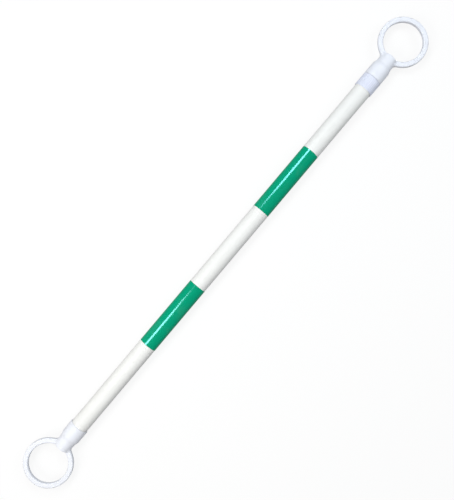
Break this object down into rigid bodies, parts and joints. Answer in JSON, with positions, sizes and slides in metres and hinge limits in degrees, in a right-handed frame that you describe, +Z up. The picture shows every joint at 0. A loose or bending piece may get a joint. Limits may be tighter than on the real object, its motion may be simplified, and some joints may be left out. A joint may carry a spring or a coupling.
{
  "type": "cone bar",
  "caption": "Telescopic bar that spans two road cones: a banded tube, a sliding inner tube, a screw lock collar and a flat ring at each end that slips over a cone top.",
  "frame": {"origin": "On the ground under the middle of the bar, pushed in", "axes": "+X along the bar towards the sliding ring, +Z up along the axes of both rings, +Y across the bar"},
  "size_m": [1.2, 0.101, 0.04],
  "materials": {
    "tube_white": "satin",
    "band_green": "gloss",
    "cap_plastic": "satin",
    "collar_plastic": "satin",
    "bush_plastic": "matte",
    "screw_steel": "brushed"
  },
  "bodies": {
    "outer": {"outer_tube": "tube_white", "lower_green_band": "band_green", "upper_green_band": "band_green", "lower_ring_cap": "cap_plastic", "lower_cap_screw": "screw_steel", "threaded_bush": "bush_plastic"},
    "clamp": {"clamp_ring": "bush_plastic"},
    "collar": {"lock_collar": "collar_plastic"},
    "guide": {"guide_bush": "bush_plastic"},
    "inner": {"inner_tube": "tube_white", "inner_plug": "bush_plastic", "guide_washer": "screw_steel", "guide_screw": "screw_steel", "upper_ring_cap": "cap_plastic", "upper_cap_screw": "screw_steel"}
  },
  "joints": [
    {"name": "extend", "type": "slide", "parent": "outer", "child": "guide", "axis": [1, 0, 0], "range_m": [0, 0.8]},
    {"name": "swivel", "type": "hinge", "parent": "guide", "child": "inner", "pos_m": [-0.4163, 0, 0.02], "axis": [1, 0, 0], "continuous": true},
    {"name": "clamp_press", "type": "slide", "parent": "outer", "child": "clamp", "axis": [-1, 0, 0], "range_m": [0, 0.00151]},
    {"name": "collar_turn", "type": "hinge", "parent": "clamp", "child": "collar", "pos_m": [0.438, 0, 0.02], "axis": [-1, 0, 0], "range_deg": [0, 180]}
  ],
  "couplings": [
    {"joint": "clamp_press", "follows": "collar_turn", "m_per_rad": 0.00047746}
  ]
}
